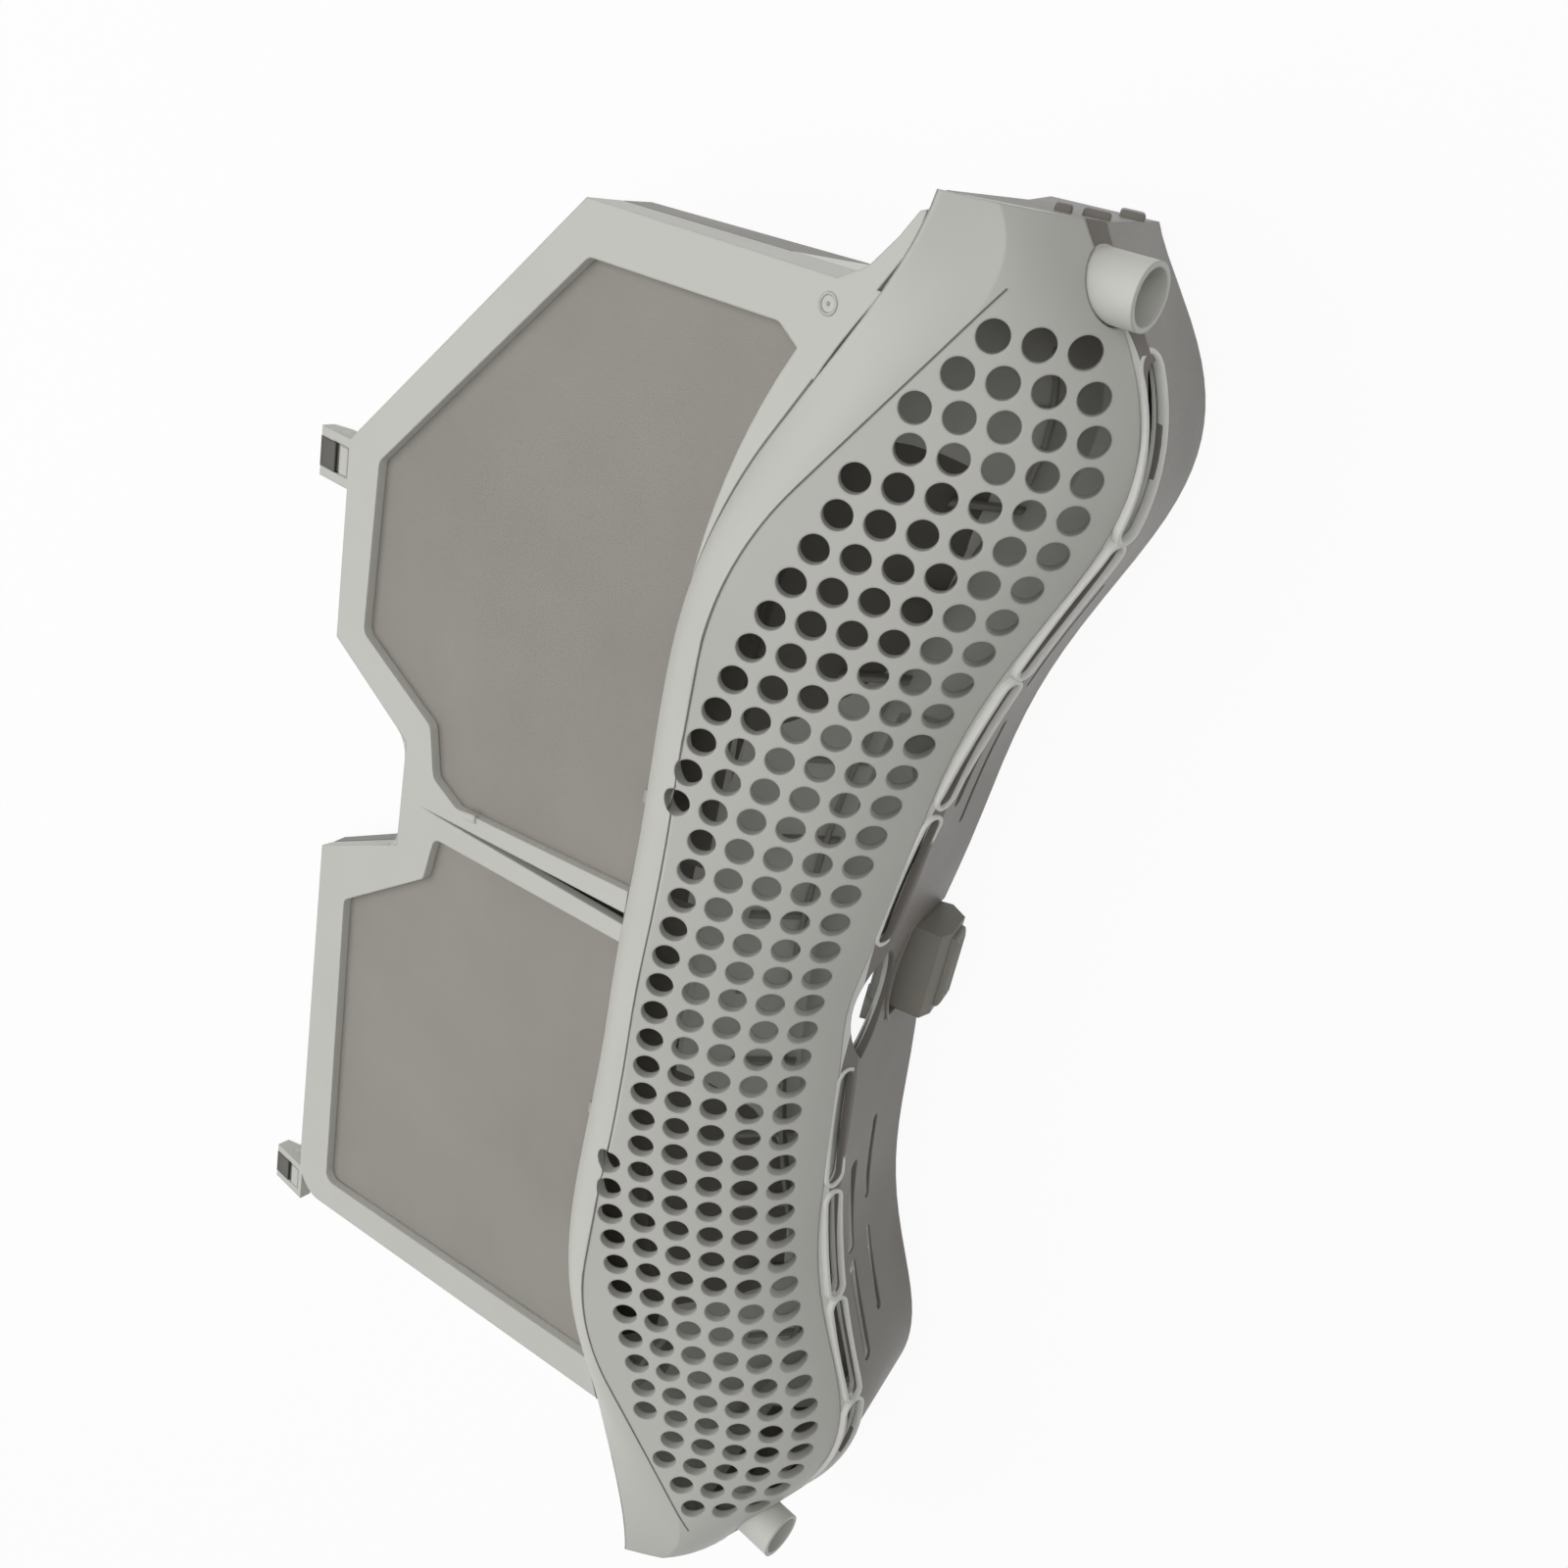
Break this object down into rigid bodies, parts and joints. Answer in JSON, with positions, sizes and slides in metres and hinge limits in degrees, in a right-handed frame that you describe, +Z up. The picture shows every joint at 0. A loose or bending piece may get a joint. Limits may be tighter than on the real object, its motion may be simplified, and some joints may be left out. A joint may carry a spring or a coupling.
{
  "type": "lint filter",
  "caption": "Folding lint filter of a dryer: two hinged fine-mesh leaves under a long, curved, perforated head with air slots, ring locators and a catch.",
  "frame": {"origin": "bottom centre of the bounding box, with the filter lying on the bottom edge of its head and on its hinge knuckles", "axes": "+X along the head, +Y from the hinge towards the head, +Z up; the leaves rise by 22 degrees towards +Y"},
  "size_m": [0.35, 0.2096, 0.0692],
  "materials": {
    "front_plastic": "satin",
    "back_plastic": "satin",
    "screen_cloth": "fine woven",
    "pin_steel": "plain",
    "latch_plastic": "satin"
  },
  "bodies": {
    "back_half": {"back_frame": "back_plastic", "deck_shell": "back_plastic", "back_screen_upper": "screen_cloth", "back_screen_lower": "screen_cloth", "deck_screen_left": "screen_cloth", "deck_screen_right": "screen_cloth", "latch_pin": "pin_steel"},
    "front_half": {"front_frame": "front_plastic", "front_cover": "front_plastic", "front_screen_upper": "screen_cloth", "front_screen_lower": "screen_cloth", "hinge_pin_left": "pin_steel", "hinge_pin_right": "pin_steel"},
    "latch": {"latch_lever": "latch_plastic"}
  },
  "joints": [
    {"name": "leaf_hinge", "type": "hinge", "parent": "back_half", "child": "front_half", "pos_m": [0, -0.09807, 0.00328], "axis": [1, 0, 0], "range_deg": [0, 110]},
    {"name": "latch_pivot", "type": "hinge", "parent": "back_half", "child": "latch", "pos_m": [0, 0.07188, 0.01791], "axis": [1, 0, 0], "range_deg": [-8, 0], "stiffness_Nm_per_rad": 0.05}
  ]
}
